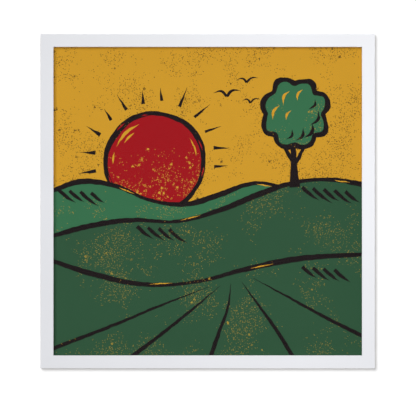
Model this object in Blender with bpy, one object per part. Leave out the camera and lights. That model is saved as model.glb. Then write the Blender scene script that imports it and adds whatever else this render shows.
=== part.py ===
"""A square framed print that hangs on a wall.

Four mitred rails hold glass, a printed sheet, a card and a back board in their rebate.
Flexible steel points keep the stack in, V-nails tie the mitres, and a sawtooth hanger carries the frame.

Metres. +X is to the right as seen from the front, +Z is up, and the front faces -Y.
The wall is the plane y = 0. The origin is the middle notch of the hanger, on that plane.
"""

import math

import bmesh
import bpy
from mathutils import Matrix

# Stack of sheets, all of one square size
SHEET = 0.500
SHEET_PLAY = 0.001  # left all round, so that the sheets can move in the rebate
GLAZING_THICK = 0.002
PRINT_THICK = 0.0003
CARD_THICK = 0.0015
BOARD_THICK = 0.003

# Moulding of the rails
FACE_WIDTH = 0.0205
REBATE_WIDTH = 0.0065
RAIL_DEPTH = 0.020
LIP_THICK = 0.005  # front to back, of the part that overlaps the glazing
FRONT_EASE = 0.0007  # radius that sanding leaves on the front edges
BACK_EASE = 0.0004
EASE_SEGMENTS = 3

# Spaces between pieces
GAP = 0.0003
INK_GAP = 0.0004  # between the glazing and the paper, where the ink lies
STAND_OFF = 0.0025  # between the rails and the wall

# Flexible steel points that hold the stack, driven into the wall of the rebate
POINTS_A_SIDE = 4
POINT_PITCH = 0.125
POINT_WIDTH = 0.0065
POINT_THICK = 0.0005
POINT_DRIVEN = 0.005
POINT_FREE = 0.009
POINT_TIP = 0.002  # length of the tapered end, in the wood
POINT_TIP_WIDTH = 0.002

# V-nails across the mitres, driven from the back
V_LEG = 0.0045
V_THICK = 0.0006
V_DEPTH = 0.007
V_INSETS = (0.0062, 0.0122)  # how far in from the outer edges each one's corner lies

# Sawtooth hanger on the back of the top rail, its teeth over the recess, where the nail has room
HANGER_THICK = 0.001
HANGER_ABOVE = 0.008  # from the notches up to the plate's top edge
HANGER_PAD = 0.005  # length of the flat pad at each end
HANGER_RAMP = 0.002
NOTCHES = 9
TOOTH_DEPTH = 0.0016
TOOTH_PITCH = 0.003
TOOTH_MARGIN = 0.002  # from the outermost tooth to the ramp
NOTCH_BELOW_RAIL = 0.0005  # how far the notches clear the lower edge of the rail's back

# Pins of the hanger
PIN_BELOW_EDGE = 0.003  # from the plate's top edge
PIN_RADIUS = 0.0006
PIN_LENGTH = 0.009
PIN_HEAD_RADIUS = 0.0016
PIN_HEAD_THICK = 0.0007
PIN_HEAD_ROUND = 0.0004
PIN_SIDES = 16

# Bumpers on the back of the bottom rail
BUMPER_RADIUS = 0.0045
BUMPER_ROUND = 0.0008
BUMPER_FROM_SIDE = 0.025
BUMPER_SIDES = 32

# Worked out from the above
REBATE_HALF = SHEET / 2 + SHEET_PLAY
BAND_WIDTH = FACE_WIDTH - REBATE_WIDTH  # of the rail's back
OUTER_HALF = REBATE_HALF + BAND_WIDTH
CENTRE_Z = BAND_WIDTH + NOTCH_BELOW_RAIL - OUTER_HALF
RAIL_BACK = -STAND_OFF
RAIL_FRONT = RAIL_BACK - RAIL_DEPTH
LIP_BACK = RAIL_FRONT + LIP_THICK
GLAZING_FRONT = LIP_BACK + GAP
PRINT_FRONT = GLAZING_FRONT + GLAZING_THICK + INK_GAP
CARD_FRONT = PRINT_FRONT + PRINT_THICK + GAP
BOARD_FRONT = CARD_FRONT + CARD_THICK + GAP
BOARD_BACK = BOARD_FRONT + BOARD_THICK
MITRE_CUT = GAP / math.sqrt(2)  # along each rail, which leaves the mitres GAP apart
RUN_OUT = 0.001  # how far a cutter runs past the surface that it enters

# The sides in turn about +Y, and the corner at each side's own -X end
SIDES = ("bottom", "left", "top", "right")
CORNERS = ("bottom_left", "top_left", "top_right", "bottom_right")


def clear_scene():
    for obj in list(bpy.data.objects):
        bpy.data.objects.remove(obj, do_unlink=True)


def make_material(name, colour, roughness, metallic=0.0, alpha=1.0):
    """A plain Principled material of a linear colour."""
    material = bpy.data.materials.new(name)
    material.use_nodes = True
    shader = material.node_tree.nodes["Principled BSDF"]
    shader.inputs["Base Color"].default_value = (*colour, 1.0)
    shader.inputs["Roughness"].default_value = roughness
    shader.inputs["Metallic"].default_value = metallic
    shader.inputs["Alpha"].default_value = alpha
    return material


def add_object(name, mesh, material=None, parent=None):
    obj = bpy.data.objects.new(name, mesh)
    bpy.context.scene.collection.objects.link(obj)
    if material and not mesh.materials:
        mesh.materials.append(material)
    obj.parent = parent
    return obj


def add_cutter(name, mesh, parent, collections):
    """A guide that the Booleans of the rails in these collections take away."""
    obj = add_object(name, mesh, parent=parent)
    obj.hide_render = True
    obj.display_type = "WIRE"
    for collection in collections:
        collection.objects.link(obj)
    return obj


def take_away(obj, cuts):
    """Cuts the shapes of a collection out of obj."""
    boolean = obj.modifiers.new("cuts", "BOOLEAN")
    boolean.operation = "DIFFERENCE"
    boolean.solver = "EXACT"
    boolean.operand_type = "COLLECTION"
    boolean.collection = cuts


def mesh_from(bm, name):
    """The finished mesh of bm, with its faces turned outwards."""
    bmesh.ops.recalc_face_normals(bm, faces=bm.faces)
    mesh = bpy.data.meshes.new(name)
    bm.to_mesh(mesh)
    bm.free()
    return mesh


def new_points(made):
    return [v for v in made["geom"] if isinstance(v, bmesh.types.BMVert)]


def plate_mesh(name, outline, front, back):
    """A flat plate with a closed outline of (x, z) points, from y = front to y = back."""
    bm = bmesh.new()
    face = bm.faces.new([bm.verts.new((x, front, z)) for x, z in outline])
    made = bmesh.ops.extrude_face_region(bm, geom=[face])
    bmesh.ops.translate(bm, verts=new_points(made), vec=(0, back - front, 0))
    return mesh_from(bm, name)


def box_outline(left, right, low, high):
    return [(left, low), (right, low), (right, high), (left, high)]


def ease(bm, edges, radius):
    bmesh.ops.bevel(bm, geom=edges, offset=radius, segments=EASE_SEGMENTS, profile=0.5, affect="EDGES")


def disc(radius, front, back, sides, rounding=0.0):
    """A bmesh of a disc or rod along Y, with the edge of its back rounded."""
    middle = (front + back) / 2
    bm = bmesh.new()
    bmesh.ops.create_cone(
        bm,
        cap_ends=True,
        segments=sides,
        radius1=radius,
        radius2=radius,
        depth=back - front,
        matrix=Matrix.Translation((0, middle, 0)) @ Matrix.Rotation(math.radians(-90), 4, "X"),
    )
    if rounding:
        ease(bm, [e for e in bm.edges if all(v.co.y > middle for v in e.verts)], rounding)
    return bm


def rail_mesh():
    """The L-shaped moulding, along X below the middle of the frame, with both ends mitred."""
    section = [
        (0.0, RAIL_BACK),
        (0.0, RAIL_FRONT),
        (FACE_WIDTH, RAIL_FRONT),
        (FACE_WIDTH, LIP_BACK),
        (BAND_WIDTH, LIP_BACK),
        (BAND_WIDTH, RAIL_BACK),
    ]
    bm = bmesh.new()
    end = bm.faces.new([bm.verts.new((-OUTER_HALF, y, inset - OUTER_HALF)) for inset, y in section])
    made = bmesh.ops.extrude_face_region(bm, geom=[end])
    bmesh.ops.translate(bm, verts=new_points(made), vec=(2 * OUTER_HALF, 0, 0))
    ease_long_edges(bm, RAIL_FRONT, FRONT_EASE)
    ease_long_edges(bm, RAIL_BACK, BACK_EASE)
    for point in bm.verts:
        point.co.x = math.copysign(-point.co.z - MITRE_CUT, point.co.x)
    return mesh_from(bm, "rail")


def ease_long_edges(bm, y, radius):
    """Rounds the edges along X that lie in the plane of this y."""
    edges = [
        e
        for e in bm.edges
        if e.calc_length() > OUTER_HALF and all(abs(v.co.y - y) < GAP / 10 for v in e.verts)
    ]
    ease(bm, edges, radius)


def point_and_slot():
    """A flexible point below the middle of the frame, tapered where it is in the wood, and its slot."""
    half = POINT_WIDTH / 2
    tip = -REBATE_HALF - POINT_DRIVEN
    free = -REBATE_HALF + POINT_FREE
    right = [(POINT_TIP_WIDTH / 2, tip), (half, tip + POINT_TIP), (half, free)]
    outline = right + [(-x, z) for x, z in reversed(right)]
    front = BOARD_BACK + GAP
    back = front + POINT_THICK
    slot_outline = box_outline(-half - GAP, half + GAP, tip - GAP, -REBATE_HALF + RUN_OUT)
    return (
        plate_mesh("flex_point", outline, front, back),
        plate_mesh("flex_point_slot", slot_outline, front - GAP, back + GAP),
    )


def add_points(side, mesh, slot_mesh, material, parent, cuts):
    for index in range(POINTS_A_SIDE):
        along = (index - (POINTS_A_SIDE - 1) / 2) * POINT_PITCH
        point = add_object(f"flex_point_{side}_{index + 1}", mesh, material, parent)
        slot = add_cutter(f"cut_point_{side}_{index + 1}", slot_mesh, parent, [cuts])
        for obj in (point, slot):
            obj.location.x = along


def v_outline(inset, spare):
    """A V-nail at the corner at -X, its legs along the two outer edges, with spare room all round."""
    corner = inset - OUTER_HALF + V_THICK / 2 + spare
    tip = inset - OUTER_HALF - V_LEG - spare
    inner = corner - V_THICK - 2 * spare
    return [(tip, corner), (tip, inner), (inner, inner), (inner, tip), (corner, tip), (corner, corner)]


def add_v_nails(corner, material, parent, cuts):
    """Two V-nails at a corner, let into both of its rails from the back."""
    front = RAIL_BACK - V_DEPTH
    for number, inset in enumerate(V_INSETS, start=1):
        nail = plate_mesh("v_nail", v_outline(inset, 0.0), front, RAIL_BACK)
        add_object(f"v_nail_{corner}_{number}", nail, material, parent)
        slot = plate_mesh("v_slot", v_outline(inset, GAP), front - GAP, RAIL_BACK + RUN_OUT)
        add_cutter(f"cut_v_{corner}_{number}", slot, parent, cuts)


def hanger_stations():
    """Points along half of the hanger, from its middle outwards: (x, z of the lower edge, y)."""
    raised = -HANGER_THICK
    flat = RAIL_BACK + GAP
    stations = [(0.0, 0.0, raised)]
    for step in range(1, NOTCHES + 1):
        lower = -TOOTH_DEPTH if step % 2 else 0.0
        stations.append((step * TOOTH_PITCH / 2, lower, raised))
    x = stations[-1][0] + TOOTH_MARGIN
    for length, y in ((0.0, raised), (HANGER_RAMP, flat), (HANGER_PAD, flat)):
        x += length
        stations.append((x, -TOOTH_DEPTH, y))
    return stations


def hanger_pin_x():
    return hanger_stations()[-1][0] - HANGER_PAD / 2


def hanger_mesh():
    """A strip with a toothed lower edge, raised between two flat pads."""
    half = hanger_stations()
    stations = [(-x, z, y) for x, z, y in reversed(half[1:])] + half
    bm = bmesh.new()
    lower = [bm.verts.new((x, y, z)) for x, z, y in stations]
    upper = [bm.verts.new((x, y, HANGER_ABOVE)) for x, _, y in stations]
    faces = [
        bm.faces.new((lower[i], lower[i + 1], upper[i + 1], upper[i])) for i in range(len(stations) - 1)
    ]
    made = bmesh.ops.extrude_face_region(bm, geom=faces)
    bmesh.ops.translate(bm, verts=new_points(made), vec=(0, HANGER_THICK, 0))
    return mesh_from(bm, "hanger")


def pin_mesh():
    """A pin along Y: a round head on the pad of the hanger, and a shank that goes into the rail."""
    head_front = RAIL_BACK + GAP + HANGER_THICK + GAP
    tip = RAIL_BACK - PIN_LENGTH
    bm = disc(PIN_HEAD_RADIUS, head_front, head_front + PIN_HEAD_THICK, PIN_SIDES, PIN_HEAD_ROUND)
    underside = min(bm.faces, key=lambda f: f.calc_center_median().y)
    bmesh.ops.inset_region(bm, faces=[underside], thickness=PIN_HEAD_RADIUS - PIN_RADIUS)
    made = bmesh.ops.extrude_face_region(bm, geom=[underside])
    bmesh.ops.translate(bm, verts=new_points(made), vec=(0, tip - head_front, 0))
    bmesh.ops.delete(bm, geom=[underside], context="FACES")
    return mesh_from(bm, "hanger_pin")


def add_hanger(steel, cuts):
    """The hanger and its two pins, in the frame's own place on the wall."""
    hanger = add_object("hanger", hanger_mesh(), steel)
    pins = pin_mesh()
    hole = disc(PIN_RADIUS + GAP, RAIL_BACK - PIN_LENGTH - GAP, RUN_OUT, PIN_SIDES)
    hole_mesh = mesh_from(hole, "pin_hole")
    pad_cuts = bpy.data.collections.new("cuts_hanger")
    for name, side in (("left", -1), ("right", 1)):
        pin = add_object(f"hanger_pin_{name}", pins, steel)
        cutter = add_cutter(f"cut_pin_{name}", hole_mesh, None, [cuts, pad_cuts])
        for obj in (pin, cutter):
            obj.location = (side * hanger_pin_x(), 0.0, HANGER_ABOVE - PIN_BELOW_EDGE)
    take_away(hanger, pad_cuts)


def add_bumpers(rubber):
    """Two rubber discs on the bottom rail, whose flat backs lie on the wall."""
    mesh = mesh_from(disc(BUMPER_RADIUS, RAIL_BACK + GAP, 0.0, BUMPER_SIDES, BUMPER_ROUND), "bumper")
    height = CENTRE_Z - OUTER_HALF + BAND_WIDTH / 2
    for name, side in (("left", -1), ("right", 1)):
        bumper = add_object(f"bumper_{name}", mesh, rubber)
        bumper.location = (side * (OUTER_HALF - BUMPER_FROM_SIDE), 0.0, height)


def add_sheet(name, thickness, front, material):
    """A square sheet of the stack, centred in the rebate."""
    half = SHEET / 2
    outline = box_outline(-half, half, CENTRE_Z - half, CENTRE_Z + half)
    add_object(name, plate_mesh(name, outline, front, front + thickness), material)


def build():
    clear_scene()
    lacquer = make_material("white_lacquer", (0.80, 0.82, 0.85), 0.4)
    steel = make_material("zinc_plated_steel", (0.62, 0.62, 0.60), 0.35, metallic=1.0)
    rubber = make_material("grey_rubber", (0.20, 0.20, 0.21), 0.7)
    glass = make_material("float_glass", (0.93, 0.97, 0.95), 0.02, alpha=0.12)
    paper = make_material("printed_paper", (0.59, 0.31, 0.027), 0.7)
    card = make_material("white_card", (0.80, 0.79, 0.75), 0.8)
    fibreboard = make_material("fibreboard", (0.36, 0.23, 0.13), 0.75)

    add_sheet("glazing", GLAZING_THICK, GLAZING_FRONT, glass)
    add_sheet("print_sheet", PRINT_THICK, PRINT_FRONT, paper)
    add_sheet("backing_card", CARD_THICK, CARD_FRONT, card)
    add_sheet("backing_board", BOARD_THICK, BOARD_FRONT, fibreboard)

    rail = rail_mesh()
    point, slot = point_and_slot()
    cuts = [bpy.data.collections.new(f"cuts_{side}") for side in SIDES]
    for index, side in enumerate(SIDES):
        turn = bpy.data.objects.new(f"side_{side}", None)
        bpy.context.scene.collection.objects.link(turn)
        turn.location.z = CENTRE_Z
        turn.rotation_euler.y = index * math.pi / 2
        take_away(add_object(f"rail_{side}", rail, lacquer, turn), cuts[index])
        add_points(side, point, slot, steel, turn, cuts[index])
        next_side = (index + 1) % len(SIDES)
        add_v_nails(CORNERS[index], steel, turn, [cuts[index], cuts[next_side]])
    add_hanger(steel, cuts[SIDES.index("top")])
    add_bumpers(rubber)


build()
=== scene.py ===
"""Dresses the square framed print: a white frame on a wall, with a block print behind its glass.

Metres. +X is to the right as seen from the front, +Z is up, and the front faces -Y.
The wall is the plane y = 0. The origin is the middle notch of the hanger.
"""

import math
import random

import bmesh
import bpy
from mathutils import Matrix, Vector, noise


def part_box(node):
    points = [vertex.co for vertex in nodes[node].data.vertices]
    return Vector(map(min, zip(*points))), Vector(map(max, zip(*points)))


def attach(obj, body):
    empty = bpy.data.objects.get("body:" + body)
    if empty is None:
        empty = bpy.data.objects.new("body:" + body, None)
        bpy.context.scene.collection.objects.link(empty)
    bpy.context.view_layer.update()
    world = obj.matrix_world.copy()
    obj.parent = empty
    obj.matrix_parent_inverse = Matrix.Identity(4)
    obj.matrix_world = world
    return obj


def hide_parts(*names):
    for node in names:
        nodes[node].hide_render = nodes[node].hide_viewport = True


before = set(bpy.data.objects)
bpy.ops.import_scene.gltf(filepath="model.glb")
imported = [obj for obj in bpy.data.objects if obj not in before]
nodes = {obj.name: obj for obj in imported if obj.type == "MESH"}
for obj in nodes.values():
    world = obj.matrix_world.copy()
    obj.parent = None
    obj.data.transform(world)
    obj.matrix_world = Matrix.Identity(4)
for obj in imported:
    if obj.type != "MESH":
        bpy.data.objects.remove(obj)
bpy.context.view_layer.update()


# Rails
# Four lengths of planed obeche moulding, sprayed with white lacquer on the face and outer side,
# then mitred. The lacquer stops raggedly at the back edge and in the rebate, where bare wood shows.
MM = 0.001
SIDES = ("bottom", "left", "top", "right")
low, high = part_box("rail_bottom")
OUTER_HALF = -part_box("rail_left")[0].x
FACE_WIDTH = high.z - low.z
RAIL_FRONT = low.y
RAIL_BACK = high.y
CENTRE_Z = low.z + OUTER_HALF
GAP = 0.3 * MM  # between pieces that touch on the real frame
LIP_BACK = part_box("glazing")[0].y - GAP
REBATE_HALF = 251 * MM
LACQUER_DIM = "#DBDCE0"
LACQUER_BRIGHT = "#DFE0E4"
LACQUER_DRIFT = 90 * MM  # length over which its white drifts
PEEL_SIZE = 1.1 * MM
PEEL_DEPTH = 0.03 * MM  # a few microns on a real rail, drawn deeper so that it shows
WOOD_DARK = "#B8945F"
WOOD_PALE = "#DCC397"
GRAIN_LENGTH = 40 * MM
GRAIN_WIDTH = 0.9 * MM  # of a streak of pores, since one pore is too fine to show
PAINT_CREEP = 0.5 * MM  # how far the lacquer wanders past an edge
PAINT_BAY = 4 * MM  # and the length of one such bay
BACK_SLACK = 0.1 * MM  # so that the whole back counts as bare
WALL_SLACK = 0.2 * MM  # so that the rebate's own wall counts as inside


def linear(colour):
    """The linear colour of an sRGB hex value."""
    levels = [int(colour[i : i + 2], 16) / 255 for i in (1, 3, 5)]
    return (*[v / 12.92 if v <= 0.04045 else ((v + 0.055) / 1.055) ** 2.4 for v in levels], 1.0)


def new_material(name):
    """A material with its Principled shader and the Object coordinates that its patterns read."""
    material = bpy.data.materials.new(name)
    material.use_nodes = True
    shader = material.node_tree.nodes["Principled BSDF"]
    place = add_node(material, "ShaderNodeTexCoord").outputs["Object"]
    return material, shader, place


def add_node(owner, kind, sockets=None, **settings):
    """Adds a node. Each of its sockets is given a value, or another node's output to link."""
    node = owner.node_tree.nodes.new(kind)
    for name, value in settings.items():
        setattr(node, name, value)
    for name, value in (sockets or {}).items():
        feed(owner, node.inputs[name], value)
    return node


def feed(owner, socket, value):
    """Gives a socket a value, or links it to another node's output."""
    if isinstance(value, bpy.types.NodeSocket):
        owner.node_tree.links.new(value, socket)
    else:
        socket.default_value = value


def finish_with(piece, material):
    """Gives a CAD node its finer material."""
    for held in piece.material_slots:
        held.material = material


# The sockets of a Mix node share their names, so they go by number
FACTOR = 0
VALUE_A, VALUE_B = 2, 3
COLOUR_A, COLOUR_B = 6, 7
MIXED_COLOUR = 2


def from_middle(material, place):
    """A place measured from the frame's middle, its axes, and how far out it is, across or up."""
    centring = {"Vector": place, "Location": (0, 0, -CENTRE_Z)}
    centred = add_node(material, "ShaderNodeMapping", centring).outputs[0]
    axes = add_node(material, "ShaderNodeSeparateXYZ", {"Vector": centred}).outputs
    across = add_node(material, "ShaderNodeMath", {0: axes["X"]}, operation="ABSOLUTE").outputs[0]
    up = add_node(material, "ShaderNodeMath", {0: axes["Z"]}, operation="ABSOLUTE").outputs[0]
    reach = add_node(material, "ShaderNodeMath", {0: across, 1: up}, operation="MAXIMUM").outputs[0]
    return centred, axes, reach


def lacquered_obeche(name, grain_scale):
    """Obeche, sprayed with satin lacquer: an even cool white, a soft sheen and faint orange peel.

    Behind, the planed wood is matt straw with short straight grain along the rail.
    """
    material, shader, place = new_material(name)
    centred, axes, reach = from_middle(material, place)
    wander = add_node(material, "ShaderNodeTexNoise", {"Vector": place, "Scale": 1 / PAINT_BAY})
    edge = add_node(
        material,
        "ShaderNodeMath",
        {0: wander.outputs["Fac"], 1: PAINT_CREEP, 2: axes["Y"]},
        operation="MULTIPLY_ADD",
    ).outputs[0]
    on_back = add_node(
        material, "ShaderNodeMath", {0: edge, 1: RAIL_BACK - BACK_SLACK}, operation="GREATER_THAN"
    ).outputs[0]
    inside = add_node(
        material, "ShaderNodeMath", {0: reach, 1: REBATE_HALF + WALL_SLACK}, operation="LESS_THAN"
    ).outputs[0]
    behind_lip = add_node(
        material, "ShaderNodeMath", {0: edge, 1: LIP_BACK}, operation="GREATER_THAN"
    ).outputs[0]
    in_rebate = add_node(
        material, "ShaderNodeMath", {0: inside, 1: behind_lip}, operation="MULTIPLY"
    ).outputs[0]
    bare = add_node(
        material, "ShaderNodeMath", {0: on_back, 1: in_rebate}, operation="MAXIMUM"
    ).outputs[0]

    drift = add_node(
        material, "ShaderNodeTexNoise", {"Vector": place, "Scale": 1 / LACQUER_DRIFT, "Detail": 1.0}
    ).outputs["Fac"]
    lacquer = add_node(
        material,
        "ShaderNodeMix",
        {FACTOR: drift, COLOUR_A: linear(LACQUER_DIM), COLOUR_B: linear(LACQUER_BRIGHT)},
        data_type="RGBA",
    ).outputs[MIXED_COLOUR]
    along = add_node(material, "ShaderNodeMapping", {"Vector": centred, "Scale": grain_scale})
    grain = add_node(
        material,
        "ShaderNodeTexNoise",
        {"Vector": along.outputs[0], "Scale": 1.0, "Detail": 4.0, "Distortion": 0.4},
    ).outputs["Fac"]
    contrast = add_node(
        material, "ShaderNodeMapRange", {"Value": grain, "From Min": 0.3, "From Max": 0.7}
    ).outputs[0]
    wood = add_node(
        material,
        "ShaderNodeMix",
        {FACTOR: contrast, COLOUR_A: linear(WOOD_DARK), COLOUR_B: linear(WOOD_PALE)},
        data_type="RGBA",
    ).outputs[MIXED_COLOUR]
    colour = add_node(
        material,
        "ShaderNodeMix",
        {FACTOR: bare, COLOUR_A: lacquer, COLOUR_B: wood},
        data_type="RGBA",
    ).outputs[MIXED_COLOUR]
    feed(material, shader.inputs["Base Color"], colour)

    peel = add_node(
        material, "ShaderNodeTexNoise", {"Vector": place, "Scale": 1 / PEEL_SIZE, "Detail": 1.0}
    ).outputs["Fac"]
    satin = add_node(
        material, "ShaderNodeMapRange", {"Value": peel, "To Min": 0.34, "To Max": 0.46}
    ).outputs[0]
    roughness = add_node(
        material, "ShaderNodeMix", {FACTOR: bare, VALUE_A: satin, VALUE_B: 0.78}
    ).outputs[0]
    feed(material, shader.inputs["Roughness"], roughness)
    relief = add_node(
        material, "ShaderNodeMix", {FACTOR: bare, VALUE_A: peel, VALUE_B: grain}
    ).outputs[0]
    bump = add_node(
        material, "ShaderNodeBump", {"Strength": 0.5, "Distance": PEEL_DEPTH, "Height": relief}
    )
    feed(material, shader.inputs["Normal"], bump.outputs[0])
    return material


grain_across = (1 / GRAIN_LENGTH, 1 / GRAIN_WIDTH, 1 / GRAIN_WIDTH)
grain_upright = (1 / GRAIN_WIDTH, 1 / GRAIN_WIDTH, 1 / GRAIN_LENGTH)
lying_obeche = lacquered_obeche("lacquered_obeche_lying", grain_across)
standing_obeche = lacquered_obeche("lacquered_obeche_standing", grain_upright)
rails = [nodes[f"rail_{side}"] for side in SIDES]
for side, rail in zip(SIDES, rails):
    finish_with(rail, standing_obeche if side in ("left", "right") else lying_obeche)


# Mitre filler
# Glue squeezed out of each mitre, rubbed down and touched in with the same lacquer.
# It fills the joint to just below the face, so that only a hairline shows.
CORNERS = ("bottom_left", "top_left", "top_right", "bottom_right")
FILLER_SUNK = 0.08 * MM
FILLER_SHORT = 0.15 * MM  # at its ends, so that its thickness stays within the rails
ARRIS = 0.7 * MM
BAND_WIDTH = OUTER_HALF - REBATE_HALF


def add_piece(name, bm, material, smooth=False):
    """Makes the finished mesh of bm into a piece of the object, on its one body."""
    bmesh.ops.remove_doubles(bm, verts=bm.verts, dist=0.001 * MM)
    bmesh.ops.recalc_face_normals(bm, faces=bm.faces)
    mesh = bpy.data.meshes.new(name)
    bm.to_mesh(mesh)
    bm.free()
    mesh.materials.append(material)
    if smooth:
        mesh.shade_smooth()
    else:
        mesh.shade_flat()
    piece = bpy.data.objects.new(name, mesh)
    bpy.context.scene.collection.objects.link(piece)
    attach(piece, "root")
    return piece


def new_points(made):
    """The points that an extrusion added."""
    return [part for part in made["geom"] if isinstance(part, bmesh.types.BMVert)]


def turn_to_side(bm, turn):
    """Turns a shape drawn for the bottom rail about the frame's middle, to its own side."""
    to_place = Matrix.Translation((0, 0, CENTRE_Z)) @ Matrix.Rotation(turn, 4, "Y")
    bmesh.ops.transform(bm, matrix=to_place, verts=bm.verts)


def filler_shape(turn):
    """The moulding's own L section, standing in the mitre at the lower left, then turned."""
    edge = FILLER_SHORT
    face = FACE_WIDTH - FILLER_SHORT
    inner = BAND_WIDTH - FILLER_SHORT
    front = RAIL_FRONT + FILLER_SUNK
    back = RAIL_BACK - FILLER_SUNK
    section = [
        (edge, back),
        (edge, front),
        (face, front),
        (face, LIP_BACK),
        (inner, LIP_BACK),
        (inner, back),
    ]
    bm = bmesh.new()
    points = [bm.verts.new((inset - OUTER_HALF, y, inset - OUTER_HALF)) for inset, y in section]
    bm.faces.new(points)
    bmesh.ops.bevel(
        bm,
        geom=points[1:3],
        offset=ARRIS,
        segments=4,
        profile=0.5,
        affect="VERTICES",
        material=-1,
    )
    half = Vector((1, 0, -1)).normalized() * GAP / 2
    bmesh.ops.translate(bm, verts=bm.verts, vec=-half)
    made = bmesh.ops.extrude_face_region(bm, geom=bm.faces)
    bmesh.ops.translate(bm, verts=new_points(made), vec=2 * half)
    turn_to_side(bm, turn)
    return bm


fillers = []
for quarter, corner in enumerate(CORNERS):
    shape = filler_shape(quarter * math.pi / 2)
    fillers.append(add_piece(f"mitre_filler_{corner}", shape, lying_obeche))


# Glazing
# A pane of 2 mm float glass, cut to size and lying behind the lip of the rails.
# It shuts no light out of the print, as thin clear glass hardly does.
SHEET_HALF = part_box("glazing")[1].x
GLASS_CLEAR = "#FEFFFF"
GLASS_GREEN = "#CFE8DC"
CUT_EDGE = 0.05 * MM  # how deep the rim counts as the cut edge


def float_glass():
    """Float glass, coated against glare: clear, with green only where the cut edge is seen."""
    material, shader, place = new_material("float_glass")
    centred, axes, reach = from_middle(material, place)
    at_edge = add_node(
        material, "ShaderNodeMath", {0: reach, 1: SHEET_HALF - CUT_EDGE}, operation="GREATER_THAN"
    ).outputs[0]
    tint = add_node(
        material,
        "ShaderNodeMix",
        {FACTOR: at_edge, COLOUR_A: linear(GLASS_CLEAR), COLOUR_B: linear(GLASS_GREEN)},
        data_type="RGBA",
    ).outputs[MIXED_COLOUR]
    feed(material, shader.inputs["Base Color"], tint)
    shader.inputs["Transmission Weight"].default_value = 1.0
    shader.inputs["Roughness"].default_value = 0.0
    shader.inputs["IOR"].default_value = 1.22  # 1.52 under a coating that takes most of its glare
    return material


glazing = nodes["glazing"]
finish_with(glazing, float_glass())
glazing.visible_shadow = False
glazing.visible_diffuse = False


# Print, the sheet
# Heavy cotton paper, mould made and laid loose between the glass and the card, which hold it flat.
# It is a little larger than the inked picture, so that its bare margin hides behind the lip.
PAPER_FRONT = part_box("print_sheet")[0].y
PAPER_WARM = "#E9E4D6"
PAPER_PALE = "#F6F3EA"
PULP_CLOUD = 14 * MM
FELT_MARK = 1.3 * MM
FELT_DEPTH = 0.04 * MM


def cotton_paper():
    """Cotton paper, mould made: a warm white with soft cloudy fibres and a felt texture."""
    material, shader, place = new_material("cotton_paper")
    cloud = add_node(
        material,
        "ShaderNodeTexNoise",
        {"Vector": place, "Scale": 1 / PULP_CLOUD, "Detail": 5.0, "Roughness": 0.6},
    ).outputs["Fac"]
    tone = add_node(
        material,
        "ShaderNodeMix",
        {FACTOR: cloud, COLOUR_A: linear(PAPER_WARM), COLOUR_B: linear(PAPER_PALE)},
        data_type="RGBA",
    ).outputs[MIXED_COLOUR]
    feed(material, shader.inputs["Base Color"], tone)
    shader.inputs["Roughness"].default_value = 0.85
    felt = add_node(
        material, "ShaderNodeTexNoise", {"Vector": place, "Scale": 1 / FELT_MARK, "Detail": 3.0}
    ).outputs["Fac"]
    bump = add_node(
        material, "ShaderNodeBump", {"Strength": 0.6, "Distance": FELT_DEPTH, "Height": felt}
    )
    feed(material, shader.inputs["Normal"], bump.outputs[0])
    return material


finish_with(nodes["print_sheet"], cotton_paper())


# Print, the picture
# A landscape printed from hand-cut blocks in five inks, each shape a thin film of ink on the sheet.
# Shapes are drawn in millimetres from the middle of the sheet, x to the right and z up, each in a
# layer that is counted from the paper.
FILM = 0.03 * MM  # from one layer to the next
FULL_WIDTH = 6.0  # of a line that is as thick as a film
TIP = 0.3  # width at which a stroke runs out
INKED_HALF = 249.0
CUT_SEED = 3  # of the noise in the cuts, which would differ each run without it
CUT_WAVE = 9.0  # length over which the knife wanders
CUT_DRIFT = 0.8
TREMOR = 0.4  # of the drift, in waves a third as long
LINE_SEED = 20  # added for a line, so that it wanders apart from the patch in its layer
blocks = {ink: bmesh.new() for ink in ("ochre", "red", "green", "leaf_green", "black")}
noise.seed_set(CUT_SEED)


def knots_of(curve, knots, closed, square=()):
    """Runs a spline through knots of (x, z) or (x, z, width), smooth but for those in square."""
    spline = curve.splines.new("BEZIER")
    spline.bezier_points.add(len(knots) - 1)
    spline.use_cyclic_u = closed
    spline.radius_interpolation = "CARDINAL"
    for number, (point, knot) in enumerate(zip(spline.bezier_points, knots)):
        point.co = (knot[0], knot[1], 0)
        point.radius = knot[2] if len(knot) > 2 else 1.0
        kind = "VECTOR" if number in square else "AUTO"
        point.handle_left_type = kind
        point.handle_right_type = kind


def mesh_of(curve, seed):
    """The mesh of a drawn curve, with the uneven edge that a knife leaves."""
    drawn = bpy.data.objects.new("drawn", curve)
    bpy.context.scene.collection.objects.link(drawn)
    bpy.context.view_layer.update()
    final = drawn.evaluated_get(bpy.context.evaluated_depsgraph_get())
    mesh = bpy.data.meshes.new_from_object(final)
    bm = bmesh.new()
    bm.from_mesh(mesh)
    for point in bm.verts:
        place = Vector((point.co.x / CUT_WAVE, point.co.y / CUT_WAVE, seed))
        drift = noise.noise_vector(place) + TREMOR * noise.noise_vector(3 * place)
        point.co.x += CUT_DRIFT * drift.x
        point.co.y += CUT_DRIFT * drift.y
    bmesh.ops.remove_doubles(bm, verts=bm.verts, dist=0.001)
    bpy.data.objects.remove(drawn)
    bpy.data.curves.remove(curve)
    bpy.data.meshes.remove(mesh)
    return bm


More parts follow.
